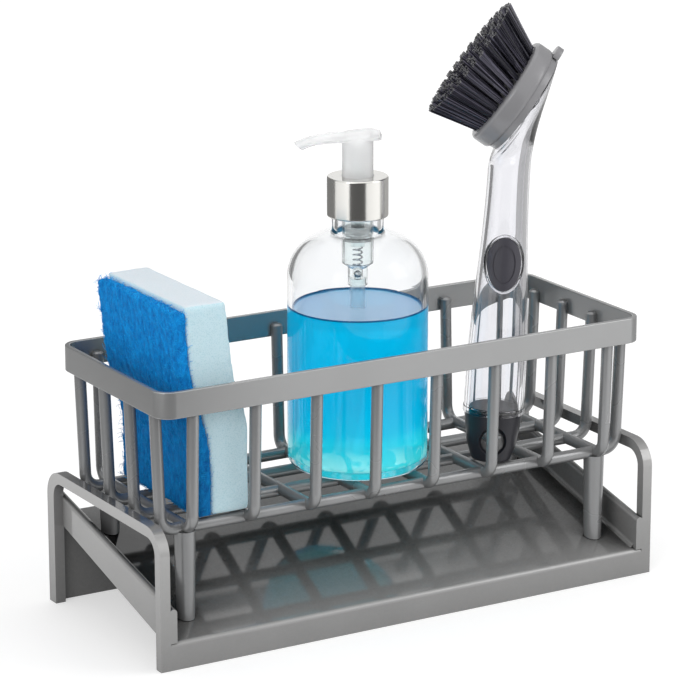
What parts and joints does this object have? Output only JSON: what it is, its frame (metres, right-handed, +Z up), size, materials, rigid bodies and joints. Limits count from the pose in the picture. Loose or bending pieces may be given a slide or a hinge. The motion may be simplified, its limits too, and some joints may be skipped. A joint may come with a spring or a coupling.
{
  "type": "sink caddy with soap pump bottle",
  "caption": "Sink caddy: sloped drain tray, wire basket on legs, and a soap pump bottle, a sponge and a filling dish brush standing in it.",
  "frame": {"origin": "middle of the tray's footprint on the counter", "axes": "+X along the tray to the right, +Y to its back, +Z up"},
  "size_m": [0.3, 0.1272, 0.3136],
  "materials": {
    "tray_plastic": "glossy grey moulding",
    "basket_paint": "satin grey paint",
    "bottle_glass": "clear glass",
    "liquid_soap": "clear blue liquid",
    "nickel": "brushed nickel",
    "white_plastic": "translucent white",
    "clear_plastic": "frosted clear",
    "ball_steel": "polished steel",
    "seal_rubber": "matt",
    "scour_fibre": "coarse non-woven fibre",
    "foam_sponge": "fine-pored foam",
    "handle_clear": "clear plastic",
    "dark_rubber": "matt",
    "cap_plastic": "gloss dark grey",
    "head_plastic": "satin grey",
    "valve_silicone": "translucent",
    "bristle_nylon": "nylon"
  },
  "bodies": {
    "tray": {"drain_tray": "tray_plastic"},
    "basket": {"rim_band": "basket_paint", "cross_wire_1": "basket_paint", "cross_wire_2": "basket_paint", "cross_wire_3": "basket_paint", "cross_wire_4": "basket_paint", "cross_wire_5": "basket_paint", "cross_wire_6": "basket_paint", "cross_wire_7": "basket_paint", "cross_wire_8": "basket_paint", "long_wire_1": "basket_paint", "long_wire_2": "basket_paint", "long_wire_3": "basket_paint", "long_wire_4": "basket_paint", "leg_front_left": "basket_paint", "leg_front_right": "basket_paint", "leg_back_left": "basket_paint", "leg_back_right": "basket_paint"},
    "bottle": {"bottle": "bottle_glass", "soap": "liquid_soap"},
    "pump": {"neck_gasket": "seal_rubber", "pump_housing": "clear_plastic", "inlet_ball": "ball_steel", "return_spring": "ball_steel", "dip_tube": "clear_plastic"},
    "closure": {"collar": "nickel", "closure_insert": "white_plastic"},
    "plunger": {"plunger_stem": "clear_plastic", "piston": "white_plastic"},
    "spout": {"spout_head": "white_plastic"},
    "sponge": {"scour_pad": "scour_fibre", "foam": "foam_sponge"},
    "brush": {"brush_handle": "handle_clear", "brush_neck": "handle_clear"},
    "button": {"brush_button": "dark_rubber"},
    "end_cap": {"brush_end_cap": "cap_plastic", "cap_seal": "seal_rubber"},
    "head": {"brush_head": "head_plastic", "soap_valve": "valve_silicone", "brush_bristles": "bristle_nylon"}
  },
  "joints": [
    {"name": "basket_lift", "type": "slide", "parent": "tray", "child": "basket", "axis": [0, 0, 1], "range_m": [0, 0.12]},
    {"name": "bottle_lift", "type": "slide", "parent": "basket", "child": "bottle", "axis": [0, 0, 1], "range_m": [0, 0.085]},
    {"name": "pump_pull", "type": "slide", "parent": "bottle", "child": "pump", "axis": [0, 0, 1], "range_m": [0, 0.145]},
    {"name": "collar_turn", "type": "hinge", "parent": "pump", "child": "closure", "pos_m": [-0.001, -0.0062, 0.215], "axis": [0, 0, 1], "continuous": true},
    {"name": "plunger_press", "type": "slide", "parent": "pump", "child": "plunger", "axis": [0, 0, -1], "range_m": [0, 0.0075], "stiffness_N_per_m": 600, "springref_m": -0.002, "deforming": ["return_spring"]},
    {"name": "spout_spin", "type": "hinge", "parent": "plunger", "child": "spout", "pos_m": [-0.001, -0.0062, 0.24], "axis": [0, 0, 1], "continuous": true},
    {"name": "sponge_lift", "type": "slide", "parent": "basket", "child": "sponge", "axis": [0, 0, 1], "range_m": [0, 0.12]},
    {"name": "brush_lift", "type": "slide", "parent": "basket", "child": "brush", "axis": [0, 0, 1], "range_m": [0, 0.2]},
    {"name": "button_press", "type": "slide", "parent": "brush", "child": "button", "axis": [0.5111, 0.859, -0.0313], "range_m": [0, 0.0025], "stiffness_N_per_m": 800},
    {"name": "head_pull", "type": "slide", "parent": "brush", "child": "head", "axis": [-0.6956, 0.4347, 0.572], "range_m": [0, 0.025]},
    {"name": "cap_twist", "type": "hinge", "parent": "brush", "child": "end_cap", "pos_m": [0.06683, -0.034, 0.10078], "axis": [0.061, 0, 0.9981], "range_deg": [0, 90]}
  ]
}
